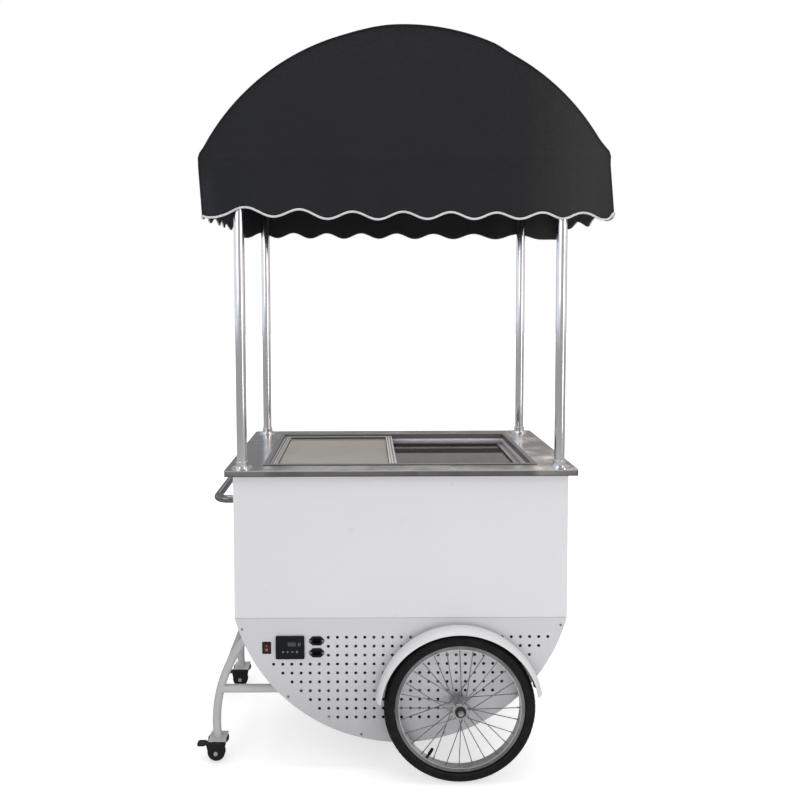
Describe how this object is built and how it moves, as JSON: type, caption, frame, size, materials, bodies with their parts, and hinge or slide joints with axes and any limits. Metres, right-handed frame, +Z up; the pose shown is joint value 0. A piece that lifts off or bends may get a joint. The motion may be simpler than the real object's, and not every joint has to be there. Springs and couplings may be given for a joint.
{
  "type": "ice cream cart",
  "caption": "White freezer cart on spoked wheels and casters, with a steel counter, sliding glass lids, a push handle and an arched canvas canopy on poles.",
  "frame": {"origin": "on the ground, under the middle of the whole cart's length and depth", "axes": "+X along the cart away from the push handle, +Y from the front, which shows in the picture, to the back, +Z up"},
  "size_m": [1.338, 0.792, 2.402],
  "materials": {
    "white_paint": "gloss",
    "galvanised": "satin",
    "screw_steel": "satin",
    "stainless": "satin",
    "polished_steel": "polished",
    "liner_steel": "satin",
    "foam": "matte",
    "copper": "satin",
    "track_plastic": "satin",
    "frame_tube": "satin",
    "canvas": "matte",
    "piping": "satin",
    "black_plastic": "satin",
    "display": "gloss",
    "black_enamel": "satin",
    "fins": "satin",
    "fan_alloy": "satin",
    "tyre": "matte",
    "rim_alloy": "satin",
    "spoke_steel": "polished",
    "hub_steel": "satin",
    "caster_steel": "satin",
    "caster_tread": "matte",
    "pedal_plastic": "satin",
    "lid_frame": "satin",
    "lid_glass": "polished",
    "red_plastic": "gloss",
    "key_plastic": "satin"
  },
  "bodies": {
    "chassis": {"base_frame": "white_paint", "front_panel": "white_paint", "back_panel": "white_paint", "end_panels": "white_paint", "front_skirt": "white_paint", "back_skirt": "white_paint", "belly_panel": "white_paint", "caster_legs": "white_paint", "leg_braces": "white_paint", "fenders": "white_paint", "cabinet_floor": "galvanised", "machine_tray": "galvanised", "panel_screws": "screw_steel", "wheel_axle": "screw_steel", "countertop": "stainless", "canopy_poles": "polished_steel", "pole_flanges": "polished_steel", "push_handle": "polished_steel", "freezer_liner": "liner_steel", "insulation": "foam", "evaporator_coil": "copper", "refrigerant_pipes": "copper", "lid_track": "track_plastic", "canopy_rails": "frame_tube", "canopy_bows": "frame_tube", "canopy_top": "canvas", "canopy_front": "canvas", "canopy_back": "canvas", "canopy_piping": "piping", "switch_housing": "black_plastic", "controller_case": "black_plastic", "power_inlets": "black_plastic", "controller_display": "display", "compressor": "black_enamel", "fan_motor": "black_enamel", "condenser": "fins"},
    "front_wheel": {"front_tyre": "tyre", "front_rim": "rim_alloy", "front_spokes": "spoke_steel", "front_hub": "hub_steel"},
    "rear_wheel": {"rear_tyre": "tyre", "rear_rim": "rim_alloy", "rear_spokes": "spoke_steel", "rear_hub": "hub_steel"},
    "front_caster": {"front_caster_fork": "caster_steel"},
    "rear_caster": {"rear_caster_fork": "caster_steel"},
    "front_caster_roller": {"front_caster_wheel": "caster_tread"},
    "rear_caster_roller": {"rear_caster_wheel": "caster_tread"},
    "front_brake": {"front_caster_pedal": "pedal_plastic"},
    "rear_brake": {"rear_caster_pedal": "pedal_plastic"},
    "left_lid": {"left_lid_frame": "lid_frame", "left_lid_glass": "lid_glass"},
    "right_lid": {"right_lid_frame": "lid_frame", "right_lid_glass": "lid_glass"},
    "rocker": {"switch_rocker": "red_plastic"},
    "fan": {"fan_blade": "fan_alloy"},
    "key_1": {"controller_key_1": "key_plastic"},
    "key_2": {"controller_key_2": "key_plastic"},
    "key_3": {"controller_key_3": "key_plastic"},
    "key_4": {"controller_key_4": "key_plastic"}
  },
  "joints": [
    {"name": "front_wheel_spin", "type": "hinge", "parent": "chassis", "child": "front_wheel", "pos_m": [0.206, -0.352, 0.245], "axis": [0, 1, 0], "continuous": true},
    {"name": "front_caster_swivel", "type": "hinge", "parent": "chassis", "child": "front_caster", "pos_m": [-0.597, -0.24, 0.08], "axis": [0, 0, 1], "continuous": true},
    {"name": "front_caster_roll", "type": "hinge", "parent": "front_caster", "child": "front_caster_roller", "pos_m": [-0.605, -0.24, 0.03], "axis": [0, 1, 0], "continuous": true},
    {"name": "front_brake_press", "type": "hinge", "parent": "front_caster", "child": "front_brake", "pos_m": [-0.629, -0.24, 0.058], "axis": [0, -1, 0], "range_deg": [0, 14]},
    {"name": "rear_wheel_spin", "type": "hinge", "parent": "chassis", "child": "rear_wheel", "pos_m": [0.206, 0.352, 0.245], "axis": [0, 1, 0], "continuous": true},
    {"name": "rear_caster_swivel", "type": "hinge", "parent": "chassis", "child": "rear_caster", "pos_m": [-0.597, 0.24, 0.08], "axis": [0, 0, 1], "continuous": true},
    {"name": "rear_caster_roll", "type": "hinge", "parent": "rear_caster", "child": "rear_caster_roller", "pos_m": [-0.605, 0.24, 0.03], "axis": [0, 1, 0], "continuous": true},
    {"name": "rear_brake_press", "type": "hinge", "parent": "rear_caster", "child": "rear_brake", "pos_m": [-0.629, 0.24, 0.058], "axis": [0, -1, 0], "range_deg": [0, 14]},
    {"name": "left_lid_slide", "type": "slide", "parent": "chassis", "child": "left_lid", "axis": [1, 0, 0], "range_m": [0, 0.44]},
    {"name": "right_lid_slide", "type": "slide", "parent": "chassis", "child": "right_lid", "axis": [1, 0, 0], "range_m": [-0.395, 0]},
    {"name": "rocker_tip", "type": "hinge", "parent": "chassis", "child": "rocker", "pos_m": [-0.421, -0.303, 0.422], "axis": [1, 0, 0], "range_deg": [-16, 0]},
    {"name": "key_1_press", "type": "slide", "parent": "chassis", "child": "key_1", "axis": [0, 1, 0], "range_m": [0, 0.0005], "stiffness_N_per_m": 400},
    {"name": "key_2_press", "type": "slide", "parent": "chassis", "child": "key_2", "axis": [0, 1, 0], "range_m": [0, 0.0005], "stiffness_N_per_m": 400},
    {"name": "key_3_press", "type": "slide", "parent": "chassis", "child": "key_3", "axis": [0, 1, 0], "range_m": [0, 0.0005], "stiffness_N_per_m": 400},
    {"name": "key_4_press", "type": "slide", "parent": "chassis", "child": "key_4", "axis": [0, 1, 0], "range_m": [0, 0.0005], "stiffness_N_per_m": 400},
    {"name": "fan_spin", "type": "hinge", "parent": "chassis", "child": "fan", "pos_m": [0.037, 0, 0.3637], "axis": [1, 0, 0], "continuous": true}
  ]
}
